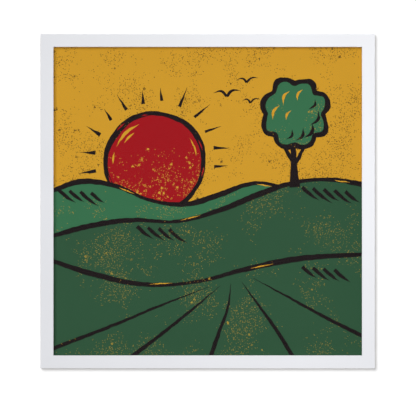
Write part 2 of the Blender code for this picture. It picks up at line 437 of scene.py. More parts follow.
def press(bm, ink, layer, depth):
    """Lays a drawn shape on the sheet, as ink in this layer."""
    stand = Matrix.Rotation(math.radians(90), 4, "X") @ Matrix.Diagonal((MM, MM, depth, 1))
    to_sheet = Matrix.Translation((0, PAPER_FRONT - (layer + 0.5) * FILM, CENTRE_Z))
    bmesh.ops.transform(bm, matrix=to_sheet @ stand, verts=bm.verts)
    bmesh.ops.recalc_face_normals(bm, faces=bm.faces)
    mesh = bpy.data.meshes.new("pressed")
    bm.to_mesh(mesh)
    bm.free()
    blocks[ink].from_mesh(mesh)
    bpy.data.meshes.remove(mesh)


def ink_patch(ink, layer, knots, square=()):
    """A filled shape of ink."""
    curve = bpy.data.curves.new("patch", "CURVE")
    curve.dimensions = "2D"
    curve.fill_mode = "NONE"
    curve.resolution_u = 16
    knots_of(curve, knots, True, square)
    bm = mesh_of(curve, layer)
    bmesh.ops.triangle_fill(bm, edges=bm.edges, use_beauty=True, use_dissolve=False)
    bmesh.ops.translate(bm, verts=bm.verts, vec=(0, 0, -0.5))
    made = bmesh.ops.extrude_face_region(bm, geom=bm.faces)
    bmesh.ops.translate(bm, verts=new_points(made), vec=(0, 0, 1))
    press(bm, ink, layer, FILM)


def ink_line(ink, layer, knots, closed=False, steps=16, square=()):
    """A line of ink as wide at each knot as the knot says."""
    curve = bpy.data.curves.new("line", "CURVE")
    curve.dimensions = "3D"
    curve.bevel_depth = 0.5
    curve.bevel_resolution = 1
    curve.use_fill_caps = True
    curve.resolution_u = steps
    knots_of(curve, knots, closed, square)
    press(mesh_of(curve, layer + LINE_SEED), ink, layer, FILM / FULL_WIDTH)


def point_at(middle, distance, angle, stretch=1.0):
    """The point at a distance and an angle from a middle, with its height stretched."""
    x = middle[0] + distance * math.cos(angle)
    z = middle[1] + stretch * distance * math.sin(angle)
    return x, z


def around(middle, distances, stretch=1.0):
    """Points evenly round a middle, at these distances in turn."""
    step = 2 * math.pi / len(distances)
    return [point_at(middle, far, index * step, stretch) for index, far in enumerate(distances)]


def with_widths(points, widths):
    """Points as knots of a line, whose width goes through these values again and again."""
    return [(x, z, widths[index % len(widths)]) for index, (x, z) in enumerate(points)]


# The sky covers the whole sheet, and every other ink lies on it
SKY_LAYER = 0
edge = INKED_HALF
sheet_corners = [(-edge, -edge), (edge, -edge), (edge, edge), (-edge, edge)]
ink_patch("ochre", SKY_LAYER, sheet_corners, square=(0, 1, 2, 3))

# The sun, with short strokes round it
SUN_LAYER = 1
SUN = (-84, 62)
SUN_RADIUS = 77
SUN_EDGE = (77, 78.5, 76.5, 77.5, 76, 78, 77, 76, 78.5, 77)
OUTLINE_WIDTHS = (7.4, 9.2, 6.6, 8.2, 9.8, 7.0, 8.0)
RAYS = 12
FIRST_RAY = -4  # degrees
RAY_STEP = 17.5
RAY_START = 95
RAY_TIP = 0.4
sun_rim = around(SUN, SUN_EDGE)
ink_patch("red", SUN_LAYER, sun_rim)
ink_line("black", SUN_LAYER + 1, with_widths(sun_rim, OUTLINE_WIDTHS), closed=True)
shaky = random.Random(7)  # the cutter's hand, alike in every run
for ray in range(RAYS):
    angle = math.radians(FIRST_RAY + RAY_STEP * ray)
    near = RAY_START + shaky.uniform(-2, 3)
    far = near + shaky.uniform(20, 34)
    lean = angle + math.radians(shaky.uniform(-3, 3))
    start = (*point_at(SUN, near, angle), shaky.uniform(4.6, 6.4))
    end = (*point_at(SUN, far, lean), RAY_TIP)
    ink_line("black", SUN_LAYER, [start, end])


def ink_arc(ink, layer, middle, radius, first, last, width):
    """A tapered stroke along part of a circle, between two angles in degrees."""
    stops = (
        (first, TIP),
        (0.6 * first + 0.4 * last, width),
        (0.3 * first + 0.7 * last, 0.8 * width),
        (last, TIP),
    )
    knots = [(*point_at(middle, radius, math.radians(turn)), wide) for turn, wide in stops]
    ink_line(ink, layer, knots)


# Strokes cut out of the red, where the ochre below shows: two angles, distance and width
SUN_CUTS = ((112, 158, 65, 4.6), (124, 148, 57, 3.2), (166, 182, 66, 3.0), (8, 34, 67, 2.6))
for first, last, radius, width in SUN_CUTS:
    ink_arc("ochre", SUN_LAYER + 1, SUN, radius, first, last, width)
# Slivers where the black block missed the edge of the red: two angles, and how far outside
SLIVER_WIDTH = 2.0
SUN_SLIVERS = ((14, 27, 0.8), (98, 106, -1.2), (128, 140, 1.0), (196, 209, -0.8), (343, 354, 1.0))
for first, last, out in SUN_SLIVERS:
    ink_arc("red", SUN_LAYER + 2, SUN, SUN_RADIUS + out, first, last, SLIVER_WIDTH)

# Birds, two strokes each
for x, z, size in ((30, 166, 1.15), (62, 188, 0.9), (68, 156, 0.75)):
    body = (x, z, 3.8 * size)
    left_bend = (x - 7 * size, z + 7 * size, 3.2 * size)
    left_tip = (x - 18 * size, z + 5 * size, TIP)
    right_bend = (x + 8 * size, z + 8 * size, 3.2 * size)
    right_tip = (x + 20 * size, z + 8 * size, TIP)
    ink_line("black", SKY_LAYER + 1, [body, left_bend, left_tip])
    ink_line("black", SKY_LAYER + 1, [body, right_bend, right_tip])

# Three hills, each with a heavy line along its crest: their layers, inks and crests, far to near
FAR_CREST = [
    (-249, 16), (-200, 31), (-146, 24), (-92, 2), (-38, -5),
    (18, 10), (72, 28), (128, 20), (190, 4), (249, -6),
]
MIDDLE_CREST = [
    (-249, -56), (-190, -40), (-120, -30), (-50, -32), (20, -14),
    (84, 12), (140, 30), (196, 34), (249, 26),
]
NEAR_CREST = [
    (-249, -94), (-180, -116), (-100, -132), (-20, -128),
    (60, -108), (140, -92), (249, -84),
]
HILLS = ((3, "leaf_green", FAR_CREST), (6, "green", MIDDLE_CREST), (9, "green", NEAR_CREST))
FOOT = [(INKED_HALF, -INKED_HALF), (-INKED_HALF, -INKED_HALF)]
CREST_WIDTHS = (6.4, 8.8, 7.0, 5.4, 8.0, 9.2, 6.4)
for number, (layer, ink, crest) in enumerate(HILLS):
    count = len(crest)
    ink_patch(ink, layer, crest + FOOT, square=(0, count - 1, count, count + 1))
    ink_line("black", layer + 1, with_widths(crest, CREST_WIDTHS), steps=24)
    for first in (2 + number, 6 + number):
        start = first % (count - 1)
        x, z = crest[start]
        far_x, far_z = crest[start + 1]
        sliver = [
            (x + share * (far_x - x), z + share * (far_z - z), width)
            for share, width in ((0.1, TIP), (0.3, 1.9), (0.55, TIP))
        ]
        ink_line("ochre", layer + 2, sliver)

# Hatching under the crests: where a group starts, how many strokes it has, and their length
HATCH_LAYER = 10
HATCH_STEP = 17
HATCH_DROP = 1.6
HATCHES = ((-236, 18, 4, 30), (150, 22, 5, 34), (-112, -40, 4, 30), (150, -104, 4, 30))
for crest_x, crest_z, count, reach in HATCHES:
    for step in range(count):
        x = crest_x + HATCH_STEP * step
        z = crest_z - HATCH_DROP * step
        length = reach * shaky.uniform(0.8, 1.15)
        bend = (x + 0.45 * length, z - 0.4 * length, 4.8)
        end = (x + 0.85 * length, z - 0.65 * length, TIP)
        ink_line("black", HATCH_LAYER, [(x, z, 5.8), bend, end])

# The tree on the middle hill
TRUNK_LAYER = 7
ink_line("black", TRUNK_LAYER, [(138, 22, 17), (137, 50, 11), (135, 100, 8)])
ink_line("black", TRUNK_LAYER, [(136, 62, 7), (124, 82, 5.5), (118, 100, 4)])
ink_line("black", TRUNK_LAYER, [(137, 56, 7), (148, 76, 5.5), (156, 96, 4)])
CROWN_LAYER = 8
CROWN = (138, 138)
LOBES = 8
NICK_AND_LOBE = (45, 52.5, 52.5)
crown_edge = [far * shaky.uniform(0.96, 1.05) for lobe in range(LOBES) for far in NICK_AND_LOBE]
nicks = range(0, len(crown_edge), len(NICK_AND_LOBE))
crown = around(CROWN, crown_edge, stretch=1.06)
crown_outline = with_widths(crown, OUTLINE_WIDTHS)
ink_patch("leaf_green", CROWN_LAYER, crown, square=nicks)
ink_line("black", CROWN_LAYER + 1, crown_outline, closed=True, square=nicks)
for x, z, size in ((108, 140, 1.2), (124, 164, 1.1), (146, 168, 0.9), (128, 136, 0.8)):
    start = (x - 4 * size, z - 9 * size, TIP)
    bend = (x - 3 * size, z + 2 * size, 4.4 * size)
    end = (x + 5 * size, z + 10 * size, TIP)
    ink_line("ochre", CROWN_LAYER + 1, [start, bend, end])
SHADES = ((170, 132, 1.2), (160, 112, 1.3), (146, 106, 1.1), (166, 154, 0.9), (130, 106, 0.9))
for x, z, size in SHADES:
    start = (x + 5 * size, z + 9 * size, TIP)
    bend = (x + 4 * size, z - 2 * size, 4.6 * size)
    end = (x - 6 * size, z - 9 * size, TIP)
    ink_line("black", CROWN_LAYER + 1, [start, bend, end])

# Furrows of the near field, from their far ends
FURROW_LAYER = 10
for furrow in (
    [(2, -136, 0.6), (-66, -162, 3.4), (-158, -200, 5.2), (-246, -234, 6.2)],
    [(20, -134, 0.6), (-20, -168, 3.8), (-70, -208, 5.6), (-120, -246.5, 6.6)],
    [(37, -131, 0.6), (32, -168, 4.0), (18, -208, 5.8), (4.5, -247, 7.0)],
    [(54, -128, 0.6), (80, -164, 3.8), (110, -206, 5.6), (135, -246.5, 6.6)],
    [(72, -122, 0.6), (124, -150, 3.4), (186, -184, 5.2), (246, -214, 6.2)],
):
    ink_line("black", FURROW_LAYER, furrow, steps=24)


CHIP = 4.4 * MM  # spacing of the places where a chip may be
CHIP_WAVER = 8 * MM
SPECK_WAVER = 0.9  # of the specks' spacing
RAGGED = 0.27  # size of the ragged bays in a fleck's edge, in spacings
FLECK_EDGE = 0.5  # distance from its point at which a fleck ends, in spacings
FLECK_CORE = 0.36
FINE_DIGITS = 0.06  # of a cell's random colour, which alone decide whether it holds a fleck
WORN_BLEND = 0.22  # how gently a worn patch starts
MOTTLE = 16 * MM
GRIT = 0.8 * MM  # the ink's stipple is finer, drawn this coarse so that it shows
GRIT_DEPTH = 0.02 * MM


def block_ink(name, body, thin, fleck, speck, patch, worn_share, salt, chips, fades=None):
    """Oil ink rolled on a block and pressed: matt and flat, but for flecks that the block missed.

    They are a salt of specks about 1 mm across and a few ragged chips of 2 to 4 mm, and keep to
    worn patches. The colours are the ink's where full and where thin, and the flecks'. speck is
    the specks' spacing, patch a patch's size, worn_share how much is worn, and salt and chips the
    odds of each at a place. With fades, they grow from none at its first height to all at its
    second.
    """
    material, shader, place = new_material(name)
    mottle = add_node(
        material,
        "ShaderNodeTexNoise",
        {"Vector": place, "Scale": 1 / MOTTLE, "Detail": 6.0, "Roughness": 0.65},
    ).outputs["Fac"]
    colour = add_node(
        material,
        "ShaderNodeMix",
        {FACTOR: mottle, COLOUR_A: linear(body), COLOUR_B: linear(thin)},
        data_type="RGBA",
    ).outputs[MIXED_COLOUR]
    drift = add_node(
        material,
        "ShaderNodeTexNoise",
        {"Vector": place, "Scale": 1 / patch, "Detail": 4.0, "Roughness": 0.6},
    ).outputs["Fac"]
    start = 1 - worn_share
    full = 1 + WORN_BLEND - worn_share
    worn = add_node(
        material, "ShaderNodeMapRange", {"Value": drift, "From Min": start, "From Max": full}
    ).outputs[0]
    if fades:
        axes = add_node(material, "ShaderNodeSeparateXYZ", {"Vector": place}).outputs
        height = add_node(
            material,
            "ShaderNodeMapRange",
            {"Value": axes["Z"], "From Min": fades[0], "From Max": fades[1]},
        ).outputs[0]
        worn = add_node(
            material, "ShaderNodeMath", {0: worn, 1: height}, operation="MULTIPLY"
        ).outputs[0]
    for spacing, waver, chance in ((speck, SPECK_WAVER * speck, salt), (CHIP, CHIP_WAVER, chips)):
        ragged = add_node(
            material,
            "ShaderNodeTexNoise",
            {"Vector": place, "Scale": 1 / (RAGGED * spacing), "Detail": 2.0},
        ).outputs["Color"]
        bent = add_node(
            material,
            "ShaderNodeVectorMath",
            {0: ragged, 1: (waver, waver, waver), 2: place},
            operation="MULTIPLY_ADD",
        ).outputs[0]
        cells = add_node(
            material, "ShaderNodeTexVoronoi", {"Vector": bent, "Scale": 1 / spacing}
        ).outputs
        # A cell's colour also holds its point's place, so its coarse digits would line flecks up
        channels = add_node(material, "ShaderNodeSeparateColor", {"Color": cells["Color"]}).outputs
        lot = add_node(
            material, "ShaderNodeMath", {0: channels[0], 1: FINE_DIGITS}, operation="MODULO"
        ).outputs[0]
        odds = add_node(
            material, "ShaderNodeMath", {0: worn, 1: chance * FINE_DIGITS}, operation="MULTIPLY"
        ).outputs[0]
        chosen = add_node(
            material, "ShaderNodeMath", {0: lot, 1: odds}, operation="LESS_THAN"
        ).outputs[0]
        spot = add_node(
            material,
            "ShaderNodeMapRange",
            {"Value": cells["Distance"], "From Min": FLECK_EDGE, "From Max": FLECK_CORE},
        ).outputs[0]
        missed = add_node(
            material, "ShaderNodeMath", {0: chosen, 1: spot}, operation="MULTIPLY"
        ).outputs[0]
        colour = add_node(
            material,
            "ShaderNodeMix",
            {FACTOR: missed, COLOUR_A: colour, COLOUR_B: linear(fleck)},
            data_type="RGBA",
        ).outputs[MIXED_COLOUR]
    feed(material, shader.inputs["Base Color"], colour)
    matt = add_node(
        material, "ShaderNodeMapRange", {"Value": mottle, "To Min": 0.62, "To Max": 0.8}
    ).outputs[0]
    feed(material, shader.inputs["Roughness"], matt)
    shader.inputs["Specular IOR Level"].default_value = 0.25
    grit = add_node(
        material, "ShaderNodeTexNoise", {"Vector": place, "Scale": 1 / GRIT, "Detail": 2.0}
    ).outputs["Fac"]
    bump = add_node(
        material, "ShaderNodeBump", {"Strength": 0.4, "Distance": GRIT_DEPTH, "Height": grit}
    )
    feed(material, shader.inputs["Normal"], bump.outputs[0])
    return material


sun_height = CENTRE_Z + SUN[1] * MM
sun_fade = (sun_height + 25 * MM, sun_height - 45 * MM)
inks = {
    "ochre": block_ink(
        "ochre_ink", "#D49D29", "#D8A02E", "#4A3218",
        speck=1.5 * MM, patch=60 * MM, worn_share=0.55, salt=0.44, chips=0.025,
    ),
    "red": block_ink(
        "red_ink", "#A01119", "#A7141D", "#DBA838",
        speck=1.5 * MM, patch=26 * MM, worn_share=0.6, salt=0.42, chips=0.34, fades=sun_fade,
    ),
    "green": block_ink(
        "green_ink", "#2F553B", "#31573D", "#C8A236",
        speck=1.05 * MM, patch=95 * MM, worn_share=0.54, salt=0.22, chips=0.012,
    ),
    "leaf_green": block_ink(
        "leaf_green_ink", "#37704C", "#3A734F", "#C49A30",
        speck=1.2 * MM, patch=50 * MM, worn_share=0.5, salt=0.34, chips=0.03,
    ),
    "black": block_ink(
        "black_ink", "#1A1214", "#20181A", "#A8802A",
        speck=1.5 * MM, patch=45 * MM, worn_share=0.42, salt=0.2, chips=0.1,
    ),
}

HIDDEN_STRIP = 0.04  # of the texture's height, for the backs and edges of the ink
BACK_SHARE = 0.9  # of the strip, for the place up the sheet
DEPTH_SHARE = 0.09  # of the strip, for the depth in the ink
DEEPEST = 30 * FILM


def map_flat(mesh):
    """Maps the front of the ink flat over its texture, and its hidden back and edges in a strip."""
    places = mesh.uv_layers.new(name="OFBake").uv
    for face in mesh.polygons:
        is_front = face.normal.y < -0.5
        for corner in face.loop_indices:
            at = mesh.vertices[mesh.loops[corner].vertex_index].co
            across = 0.5 + at.x / (2 * SHEET_HALF)
            up = 0.5 + (at.z - CENTRE_Z) / (2 * SHEET_HALF)
            depth = (PAPER_FRONT - at.y) / DEEPEST
            if is_front:
                up = HIDDEN_STRIP + (1 - HIDDEN_STRIP) * up
            else:
                up = HIDDEN_STRIP * (BACK_SHARE * up + DEPTH_SHARE * depth)
            places[corner].vector = (across, up)


for ink, block in blocks.items():
    film = add_piece(f"ink_{ink}", block, inks[ink])
    map_flat(film.data)


# Backing card
# A thin acid-free card of bleached pulp, cut to the size of the sheet and laid in loose behind it.
# It keeps the print flat and off the brown board.
CARD_DARK = "#DAD6CC"
CARD_PALE = "#F0EEE8"
CARD_FIBRE = 2 * MM
CARD_DEPTH = 0.03 * MM


def white_card():
    """Grey-white pulp card, calendered: matt, with fine flecks of fibre."""
    material, shader, place = new_material("pulp_card")
    fibre = add_node(
        material,
        "ShaderNodeTexNoise",
        {"Vector": place, "Scale": 1 / CARD_FIBRE, "Detail": 6.0, "Roughness": 0.7},
    ).outputs["Fac"]
    tone = add_node(
        material,
        "ShaderNodeMix",
        {FACTOR: fibre, COLOUR_A: linear(CARD_DARK), COLOUR_B: linear(CARD_PALE)},
        data_type="RGBA",
    ).outputs[MIXED_COLOUR]
    feed(material, shader.inputs["Base Color"], tone)
    shader.inputs["Roughness"].default_value = 0.8
    bump = add_node(
        material, "ShaderNodeBump", {"Strength": 0.4, "Distance": CARD_DEPTH, "Height": fibre}
    )
    feed(material, shader.inputs["Normal"], bump.outputs[0])
    return material


finish_with(nodes["backing_card"], white_card())


# Backing board
# A 3 mm sheet of medium density fibreboard, sawn square and left bare.
# It closes the frame from behind, and only the flexible points hold it in.
BOARD_DARK = "#8E6B48"
BOARD_PALE = "#B5926A"
BOARD_STRAND = "#5F4226"
BOARD_HAZE = 22 * MM
BOARD_DEPTH = 0.03 * MM
# A strand is about 3 mm long and 0.1 mm thick, drawn 0.35 mm thick so that it shows
STRAND_SCALE = (1 / (3 * MM), 1 / (2 * MM), 1 / (0.35 * MM))
STRAND_SLANT = 0.6  # in radians


def fibreboard():
    """MDF, pressed and sanded: a dull biscuit brown, hazy with fine fibres and the odd dark one."""
    material, shader, place = new_material("sanded_fibreboard")
    haze = add_node(
        material,
        "ShaderNodeTexNoise",
        {"Vector": place, "Scale": 1 / BOARD_HAZE, "Detail": 8.0, "Roughness": 0.72},
    ).outputs["Fac"]
    tone = add_node(
        material,
        "ShaderNodeMix",
        {FACTOR: haze, COLOUR_A: linear(BOARD_DARK), COLOUR_B: linear(BOARD_PALE)},
        data_type="RGBA",
    ).outputs[MIXED_COLOUR]
    slant = add_node(
        material,
        "ShaderNodeMapping",
        {"Vector": place, "Rotation": (0, STRAND_SLANT, 0), "Scale": STRAND_SCALE},
    ).outputs[0]
    strands = add_node(
        material,
        "ShaderNodeTexNoise",
        {"Vector": slant, "Scale": 1.0, "Detail": 3.0, "Distortion": 1.5},
    ).outputs["Fac"]
    dark = add_node(
        material,
        "ShaderNodeMapRange",
        {"Value": strands, "From Min": 0.56, "From Max": 0.72, "To Max": 0.55},
    ).outputs[0]
    colour = add_node(
        material,
        "ShaderNodeMix",
        {FACTOR: dark, COLOUR_A: tone, COLOUR_B: linear(BOARD_STRAND)},
        data_type="RGBA",
    ).outputs[MIXED_COLOUR]
    feed(material, shader.inputs["Base Color"], colour)
    shader.inputs["Roughness"].default_value = 0.72
    bump = add_node(
        material, "ShaderNodeBump", {"Strength": 0.4, "Distance": BOARD_DEPTH, "Height": strands}
    )
    feed(material, shader.inputs["Normal"], bump.outputs[0])
    return material


finish_with(nodes["backing_board"], fibreboard())


# Flexible points
# Strips of thin spring steel shot into the wall of the rebate, four a side, that press the board
# forward. They bend by hand, so their free ends stand a little off the board.
POINTS_A_SIDE = 4
POINT_PITCH = 125 * MM
POINT_WIDTH = 6.5 * MM
POINT_THICK = 0.5 * MM
POINT_TIP_WIDTH = 2.0 * MM
POINT_FREE = 9.0  # millimetres that stand out of the rebate's wall
POINT_LIFT = 0.6 * MM
POINT_ROUNDING = 1.4 * MM
POINT_BURR = 0.08 * MM
# From the tip in the wood to the free end: millimetres out of the wall, and share of the lift
POINT_ROWS = ((-5.0, 0.0), (-3.0, 0.0), (0.0, 0.0), (4.5, 0.1), (7.0, 0.35), (POINT_FREE, 1.0))
BOARD_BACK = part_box("backing_board")[1].y
ROLLING_DEPTH = 0.02 * MM


def rolled_steel(name, pale, dark, streak):
    """Bare strip steel, cold rolled: grey, with fine streaks along the rolling and a dull sheen."""
    material, shader, place = new_material(name)
    along = add_node(material, "ShaderNodeMapping", {"Vector": place, "Scale": streak})
    streaks = add_node(
        material,
        "ShaderNodeTexNoise",
        {"Vector": along.outputs[0], "Scale": 1.0, "Detail": 4.0},
    ).outputs["Fac"]
    tone = add_node(
        material,
        "ShaderNodeMix",
        {FACTOR: streaks, COLOUR_A: linear(dark), COLOUR_B: linear(pale)},
        data_type="RGBA",
    ).outputs[MIXED_COLOUR]
    feed(material, shader.inputs["Base Color"], tone)
    shader.inputs["Metallic"].default_value = 1.0
    dull = add_node(
        material, "ShaderNodeMapRange", {"Value": streaks, "To Min": 0.28, "To Max": 0.48}
    ).outputs[0]
    feed(material, shader.inputs["Roughness"], dull)
    bump = add_node(
        material, "ShaderNodeBump", {"Strength": 0.3, "Distance": ROLLING_DEPTH, "Height": streaks}
    )
    feed(material, shader.inputs["Normal"], bump.outputs[0])
    return material


def point_shape(along, turn):
    """A strip in the bottom rail, shaped row by row, and then turned to its own side."""
    steps = len(POINT_ROWS) - 1
    bm = bmesh.new()
    bmesh.ops.create_grid(bm, x_segments=1, y_segments=steps, size=0.5)
    for point in bm.verts:
        row = round((point.co.y + 0.5) * steps)
        inward, lift = POINT_ROWS[row]
        width = POINT_TIP_WIDTH if row == 0 else POINT_WIDTH
        middle = BOARD_BACK + POINT_THICK / 2 + lift * POINT_LIFT
        point.co = (point.co.x * width + along, middle, -REBATE_HALF + inward * MM)
    free_end = -REBATE_HALF + (POINT_FREE - 0.1) * MM
    bmesh.ops.bevel(
        bm,
        geom=[point for point in bm.verts if point.co.z > free_end],
        offset=POINT_ROUNDING,
        segments=4,
        profile=0.5,
        affect="VERTICES",
        material=-1,
    )
    turn_to_side(bm, turn)
    return bm


def thicken(piece, thickness, burr):
    """Gives a sheet-metal shape its thickness and takes the burr off its edges."""
    solid = piece.modifiers.new("thickness", "SOLIDIFY")
    solid.thickness = thickness
    solid.offset = 0.0
    solid.use_even_offset = True
    eased = piece.modifiers.new("eased_edges", "BEVEL")
    eased.width = burr
    eased.segments = 2
    eased.limit_method = "ANGLE"
    eased.angle_limit = math.radians(40)
    eased.harden_normals = True


# Rolling leaves lines finer than 0.1 mm, drawn 0.4 mm apart so that they show
strip_streak = (1 / (6 * MM), 1 / (6 * MM), 1 / (0.4 * MM))
strip_steel = rolled_steel("rolled_spring_steel", "#B9B8B4", "#8E8D8A", strip_streak)
for quarter, side in enumerate(SIDES):
    for number in range(POINTS_A_SIDE):
        name = f"flex_point_{side}_{number + 1}"
        along = (number - (POINTS_A_SIDE - 1) / 2) * POINT_PITCH
        shape = point_shape(along, quarter * math.pi / 2)
        strip = add_piece(f"{name}_strip", shape, strip_steel, smooth=True)
        thicken(strip, POINT_THICK, POINT_BURR)
        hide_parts(name)


# V-nails
# Steel strip folded to a V, two nails across each mitre, which tie the corner.
# They are pressed in from behind, level with the wood, before the glue sets.
# Their rolling lines, too, are drawn coarser than they are
nail_streak = (1 / (0.5 * MM), 1 / (4 * MM), 1 / (0.5 * MM))
nail_steel = rolled_steel("rolled_nail_steel", "#A9A8A6", "#7C7B79", nail_streak)
for corner in CORNERS:
    for number in (1, 2):
        finish_with(nodes[f"v_nail_{corner}_{number}"], nail_steel)


# Hanger
# A sawtooth strip stamped from steel, bright zinc plated, its middle raised off the wood so that a
# nail fits. Two short pins with domed heads hold its flat ends to the top rail.
TOOTH_STEP = 1.5 * MM  # from a notch to the next tooth
TOOTH_DEPTH = 1.6 * MM
TOOTH_REACH = 13.5 * MM
RAISED_REACH = 15.5 * MM
PAD_REACH = 17.5 * MM
HANGER_HALF = 22.5 * MM
HANGER_THICK = 1.0 * MM
HANGER_BEND = 0.6 * MM
HANGER_BURR = 0.12 * MM
PIN_X = 20 * MM
PIN_Z = 5 * MM
PIN_HOLE = 0.9 * MM  # radius
# Heights of the strip's rows of points above the notches, the first of them the notches
HANGER_ROWS = (0.0, 2.2 * MM, 5 * MM, 8 * MM)
RAISED_Y = -HANGER_THICK / 2
PAD_Y = RAIL_BACK + GAP + HANGER_THICK / 2
NEAR_ENOUGH = 0.01 * MM
ZINC_DIM = "#B4B6B8"
ZINC_BRIGHT = "#DADBD9"
ZINC_CLOUD = 3 * MM
ZINC_DEPTH = 0.02 * MM


def zinc_plate():
    """Zinc on steel, barrel plated: bright blue-grey metal with a cloudy, slightly soft gloss."""
    material, shader, place = new_material("bright_zinc_plate")
    cloud = add_node(
        material,
        "ShaderNodeTexNoise",
        {"Vector": place, "Scale": 1 / ZINC_CLOUD, "Detail": 5.0, "Roughness": 0.6},
    ).outputs["Fac"]
    tone = add_node(
        material,
        "ShaderNodeMix",
        {FACTOR: cloud, COLOUR_A: linear(ZINC_DIM), COLOUR_B: linear(ZINC_BRIGHT)},
        data_type="RGBA",
    ).outputs[MIXED_COLOUR]
    feed(material, shader.inputs["Base Color"], tone)
    shader.inputs["Metallic"].default_value = 1.0
    gloss = add_node(
        material, "ShaderNodeMapRange", {"Value": cloud, "To Min": 0.2, "To Max": 0.42}
    ).outputs[0]
    feed(material, shader.inputs["Roughness"], gloss)
    bump = add_node(
        material, "ShaderNodeBump", {"Strength": 0.3, "Distance": ZINC_DEPTH, "Height": cloud}
    )
    feed(material, shader.inputs["Normal"], bump.outputs[0])
    return material


def punch(bm, side, middle):
    """Punches a round hole for a pin in the flat pad of this side."""
    start = PAD_REACH + HANGER_BEND - NEAR_ENOUGH
    pad = [face for face in bm.faces if all(side * p.co.x > start for p in face.verts)]
    bmesh.ops.delete(bm, geom=pad, context="FACES_KEEP_BOUNDARY")
    upright = Matrix.Rotation(math.radians(90), 4, "X")
    bmesh.ops.create_circle(
        bm,
        cap_ends=False,
        radius=PIN_HOLE,
        segments=24,
        matrix=Matrix.Translation(middle) @ upright,
    )
    open_edges = [edge for edge in bm.edges if len(edge.link_faces) < 2]
    rims = [edge for edge in open_edges if all(side * p.co.x > start for p in edge.verts)]
    bmesh.ops.bridge_loops(bm, edges=rims)


def is_bend(edge):
    """Whether an edge lies across the strip where it starts or stops being raised."""
    first, last = (abs(point.co.x) for point in edge.verts)
    from_bend = min(abs(first - RAISED_REACH), abs(first - PAD_REACH))
    return from_bend < NEAR_ENOUGH and abs(first - last) < NEAR_ENOUGH


def hanger_shape():
    """A strip whose lower edge is cut into teeth and whose ends are pressed back to the wood."""
    columns = round(2 * HANGER_HALF / TOOTH_STEP)
    rows = len(HANGER_ROWS) - 1
    bm = bmesh.new()
    bmesh.ops.create_grid(bm, x_segments=columns, y_segments=rows, size=0.5)
    for point in bm.verts:
        column = round(point.co.x * columns)
        row = round((point.co.y + 0.5) * rows)
        x = abs(column) * TOOTH_STEP
        is_notch = column % 2 == 0 and x < TOOTH_REACH
        if TOOTH_REACH < x < RAISED_REACH:
            x = RAISED_REACH
        y = RAISED_Y
        if x > RAISED_REACH:
            y = PAD_Y
            x = x if x > PAD_REACH + TOOTH_STEP else PAD_REACH
        height = HANGER_ROWS[row]
        if row == 0 and not is_notch:
            height = -TOOTH_DEPTH
        point.co = (math.copysign(x, column), y, height)
    bmesh.ops.remove_doubles(bm, verts=bm.verts, dist=NEAR_ENOUGH)
    bmesh.ops.bevel(
        bm,
        geom=[edge for edge in bm.edges if is_bend(edge)],
        offset=HANGER_BEND,
        segments=3,
        profile=0.5,
        affect="EDGES",
        material=-1,
    )
    for side in (-1, 1):
        punch(bm, side, Vector((side * PIN_X, PAD_Y, PIN_Z)))
    return bm


def turned(profile, x, z, steps=32):
    """A shape turned about an axis along Y, from a profile of (distance from the axis, y)."""
    bm = bmesh.new()
    points = [bm.verts.new((x + far, y, z)) for far, y in profile]
    edges = [bm.edges.new(pair) for pair in zip(points, points[1:])]
    bmesh.ops.spin(
        bm,
        geom=points + edges,
        cent=(x, 0, z),
        axis=(0, 1, 0),
        angle=2 * math.pi,
        steps=steps,
        use_merge=True,
    )
    return bm


zinc = zinc_plate()
hanger = add_piece("sawtooth_strip", hanger_shape(), zinc, smooth=True)
thicken(hanger, HANGER_THICK, HANGER_BURR)
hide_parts("hanger")

PAD_BACK = RAIL_BACK + GAP + HANGER_THICK
PIN_PROFILE = (
    (0.0, RAIL_BACK - 9 * MM),
    (0.6 * MM, RAIL_BACK - 8 * MM),
    (0.6 * MM, PAD_BACK),
    (1.55 * MM, PAD_BACK),
    (1.6 * MM, PAD_BACK + 0.2 * MM),
    (1.45 * MM, PAD_BACK + 0.5 * MM),
    (1.1 * MM, PAD_BACK + 0.78 * MM),
    (0.6 * MM, PAD_BACK + 0.94 * MM),
    (0.0, PAD_BACK + 1.0 * MM),
)
for name, side in (("left", -1), ("right", 1)):
    shape = turned(PIN_PROFILE, side * PIN_X, PIN_Z, 24)
    pin = add_piece(f"domed_pin_{name}", shape, zinc, smooth=True)
    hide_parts(f"hanger_pin_{name}")


# Bumpers
# Self-adhesive pads of cast grey rubber near the lower corners, which keep the frame level and off
# the wall. Each is round, with a broad flat back that lies on the wall and a rim that the mould
# rounded.
RUBBER_DARK = "#747577"
RUBBER_PALE = "#8B8C8D"
DUST_SIZE = 0.8 * MM
DUST_DEPTH = 0.03 * MM
BUMPER_PROFILE = (
    (0.0, RAIL_BACK),
    (4.3 * MM, RAIL_BACK),
    (4.4 * MM, RAIL_BACK + 0.1 * MM),
    (4.5 * MM, RAIL_BACK + 0.3 * MM),
    (4.47 * MM, -1.3 * MM),
    (4.42 * MM, -0.75 * MM),
    (4.28 * MM, -0.4 * MM),
    (4.05 * MM, -0.15 * MM),
    (3.75 * MM, -0.03 * MM),
    (3.4 * MM, 0.0),
    (3.0 * MM, 0.0),
    (0.0, 0.0),
)


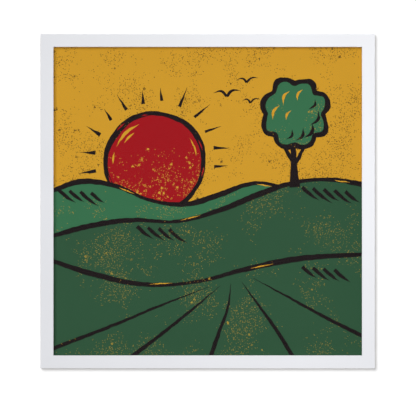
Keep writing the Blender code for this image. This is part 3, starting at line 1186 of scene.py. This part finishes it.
def cast_rubber():
    """Soft rubber, cast: an even mid grey, with a dull skin that holds some dust."""
    material, shader, place = new_material("cast_grey_rubber")
    dust = add_node(
        material,
        "ShaderNodeTexNoise",
        {"Vector": place, "Scale": 1 / DUST_SIZE, "Detail": 5.0, "Roughness": 0.7},
    ).outputs["Fac"]
    tone = add_node(
        material,
        "ShaderNodeMix",
        {FACTOR: dust, COLOUR_A: linear(RUBBER_DARK), COLOUR_B: linear(RUBBER_PALE)},
        data_type="RGBA",
    ).outputs[MIXED_COLOUR]
    feed(material, shader.inputs["Base Color"], tone)
    skin = add_node(
        material, "ShaderNodeMapRange", {"Value": dust, "To Min": 0.5, "To Max": 0.75}
    ).outputs[0]
    feed(material, shader.inputs["Roughness"], skin)
    bump = add_node(
        material, "ShaderNodeBump", {"Strength": 0.25, "Distance": DUST_DEPTH, "Height": dust}
    )
    feed(material, shader.inputs["Normal"], bump.outputs[0])
    return material


rubber = cast_rubber()
for side in ("left", "right"):
    low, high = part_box(f"bumper_{side}")
    middle = (low + high) / 2
    shape = turned(BUMPER_PROFILE, middle.x, middle.z)
    pad = add_piece(f"rubber_pad_{side}", shape, rubber, smooth=True)
    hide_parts(f"bumper_{side}")


# Wall and floor
# A studio wall, painted white, that the frame hangs on. Only its front shows, so that the frame's
# back can be seen past it. A pale board lies below as the floor, and neither is part of the object.
WALL_HALF = 1.5
WALL_CLEAR = 0.5 * MM  # behind the pads, so that no two faces share a plane
WALL_PAINT = "#7C7C7C"  # dark for white paint, because its lamp is a strong one
WALL_GLOW = 0.4
FLOOR_HALF = 5.0
FLOOR_Z = -0.75
FLOOR_DIM = "#E9E9E9"
FLOOR_BRIGHT = "#F0F0EF"
FLOOR_CLOUD = 500 * MM
WHITE = linear("#FFFFFF")


def add_backdrop(name, material, half, matrix):
    """A large flat sheet of the studio, which lights nothing and isn't part of the object."""
    bm = bmesh.new()
    bmesh.ops.create_grid(bm, x_segments=1, y_segments=1, size=half)
    bmesh.ops.transform(bm, matrix=matrix, verts=bm.verts)
    mesh = bpy.data.meshes.new(name)
    bm.to_mesh(mesh)
    bm.free()
    mesh.materials.append(material)
    sheet = bpy.data.objects.new(name, mesh)
    bpy.context.scene.collection.objects.link(sheet)
    sheet.visible_diffuse = False
    sheet.visible_glossy = False
    sheet.visible_transmission = False
    sheet.visible_shadow = False
    return sheet


def studio_wall():
    """Matt white paint, lit past white, so that only the frame's own shadow shows on it."""
    material, shader, place = new_material("studio_wall")
    material.node_tree.nodes.remove(shader)
    paint = add_node(material, "ShaderNodeBsdfDiffuse", {"Color": linear(WALL_PAINT)})
    glow = add_node(material, "ShaderNodeEmission", {"Color": WHITE, "Strength": WALL_GLOW})
    lit = add_node(material, "ShaderNodeAddShader", {0: paint.outputs[0], 1: glow.outputs[0]})
    side = add_node(material, "ShaderNodeNewGeometry").outputs["Backfacing"]
    clear = add_node(material, "ShaderNodeBsdfTransparent")
    seen = add_node(
        material,
        "ShaderNodeMixShader",
        {FACTOR: side, 1: lit.outputs[0], 2: clear.outputs[0]},
    )
    output = material.node_tree.nodes["Material Output"]
    feed(material, output.inputs["Surface"], seen.outputs[0])
    return material


def studio_floor():
    """Pale matt board with a faint cloudiness, which glows so that no lamp has to reach it."""
    material, shader, place = new_material("studio_floor")
    cloud = add_node(
        material, "ShaderNodeTexNoise", {"Vector": place, "Scale": 1 / FLOOR_CLOUD, "Detail": 3.0}
    ).outputs["Fac"]
    tone = add_node(
        material,
        "ShaderNodeMix",
        {FACTOR: cloud, COLOUR_A: linear(FLOOR_DIM), COLOUR_B: linear(FLOOR_BRIGHT)},
        data_type="RGBA",
    ).outputs[MIXED_COLOUR]
    material.node_tree.nodes.remove(shader)
    glow = add_node(material, "ShaderNodeEmission", {"Color": tone, "Strength": 1.0})
    output = material.node_tree.nodes["Material Output"]
    feed(material, output.inputs["Surface"], glow.outputs[0])
    return material


stand = Matrix.Rotation(math.radians(90), 4, "X")
wall_place = Matrix.Translation((0, WALL_CLEAR, CENTRE_Z)) @ stand
wall = add_backdrop("studio_wall", studio_wall(), WALL_HALF, wall_place)
floor_place = Matrix.Translation((0, 0, FLOOR_Z))
floor = add_backdrop("studio_floor", studio_floor(), FLOOR_HALF, floor_place)


# Light
# A large soft key from the upper left, a small fill beside the camera, and a near lamp on the rails
# alone. A grazing lamp lights the wall alone and casts the frame's shadow there. Four large lamps
# beside, below and behind serve the other views, and the air is dim but for the camera.
MIDDLE = Vector((0, 0, CENTRE_Z))


def add_lamp(name, kind, offset, strength, **settings):
    """A lamp at this offset from the frame's middle, which it points at."""
    data = bpy.data.lights.new(name, kind)
    data.energy = strength
    for setting, value in settings.items():
        setattr(data, setting, value)
    lamp = bpy.data.objects.new(name, data)
    bpy.context.scene.collection.objects.link(lamp)
    place = MIDDLE + Vector(offset)
    lamp.location = place
    lamp.rotation_euler = (MIDDLE - place).to_track_quat("-Z", "Y").to_euler()
    lamp.visible_camera = False
    return lamp


def slope(degrees):
    """How far a ray of this slope moves over one metre towards the frame."""
    return math.tan(math.radians(degrees))


def lights_only(lamp, *lit):
    """Keeps a lamp's light for these pieces alone."""
    kept = bpy.data.collections.new(f"lit_by_{lamp.name}")
    for piece in lit:
        kept.objects.link(piece)
    lamp.light_linking.receiver_collection = kept


key = add_lamp("key", "SUN", (-slope(29), -1, slope(25)), strength=1.57, angle=math.radians(27))
fill = add_lamp("fill", "SUN", (0.02, -1, 0.02), strength=1.08, angle=math.radians(12))
near = add_lamp("near", "AREA", (0.2, -0.62, 0.11), strength=1.35, size=0.3)
lights_only(near, *rails, *fillers)
grazing_from = (-slope(8.5), -1, slope(9.6))
grazing = add_lamp("grazing", "SUN", grazing_from, strength=9.8, angle=math.radians(18))
lights_only(grazing, wall)
side = add_lamp("side", "AREA", (1.3, 0.0, 1.1), strength=18.0, size=0.6)
under = add_lamp("under", "AREA", (0.5, 0.0, -1.4), strength=10.0, size=0.6)
back = add_lamp("back", "AREA", (-0.4, 1.5, 1.9), strength=28.0, size=1.2)
back_fill = add_lamp("back_fill", "AREA", (1.6, 2.0, -0.4), strength=28.0, size=3.2)
for lamp in (key, fill, near):
    lamp.visible_glossy = False
    lamp.visible_transmission = False
studio = bpy.data.collections.new("lit_apart")
for sheet in (wall, floor):
    studio.objects.link(sheet)
for kept_out in studio.collection_objects:
    kept_out.light_linking.link_state = "EXCLUDE"
for lamp in (key, fill, side, under, back, back_fill):
    lamp.light_linking.receiver_collection = studio

AIR_LIGHT = 0.15  # on the object, while the camera sees full white past the wall
air = bpy.data.worlds.new("studio_air")
bpy.context.scene.world = air
air.use_nodes = True
background = air.node_tree.nodes["Background"]
background.inputs["Color"].default_value = WHITE
seen = add_node(air, "ShaderNodeLightPath").outputs["Is Camera Ray"]
level = add_node(
    air, "ShaderNodeMapRange", {"Value": seen, "To Min": AIR_LIGHT, "To Max": 1.0}
)
feed(air, background.inputs["Strength"], level.outputs[0])


# Camera
# Face on and far off, with a long lens, so that the frame's sides don't show, as in the photograph.
# It aims a hair off the frame's middle, because the photograph's margins aren't quite equal.
LENS = 600.0
SENSOR = 36.0
SEEN_WIDTH = 0.6593  # across the picture, at the face of the rails
AIM = Vector((0.5 * MM, RAIL_FRONT, CENTRE_Z - 0.5 * MM))
camera_data = bpy.data.cameras.new("camera")
camera_data.lens = LENS
camera_data.sensor_width = SENSOR
camera = bpy.data.objects.new("camera", camera_data)
bpy.context.scene.collection.objects.link(camera)
camera.location = AIM + Vector((0, -SEEN_WIDTH * LENS / SENSOR, 0))
camera.rotation_euler = (math.radians(90), 0, 0)
bpy.context.scene.camera = camera
bpy.context.scene.view_settings.view_transform = "Standard"
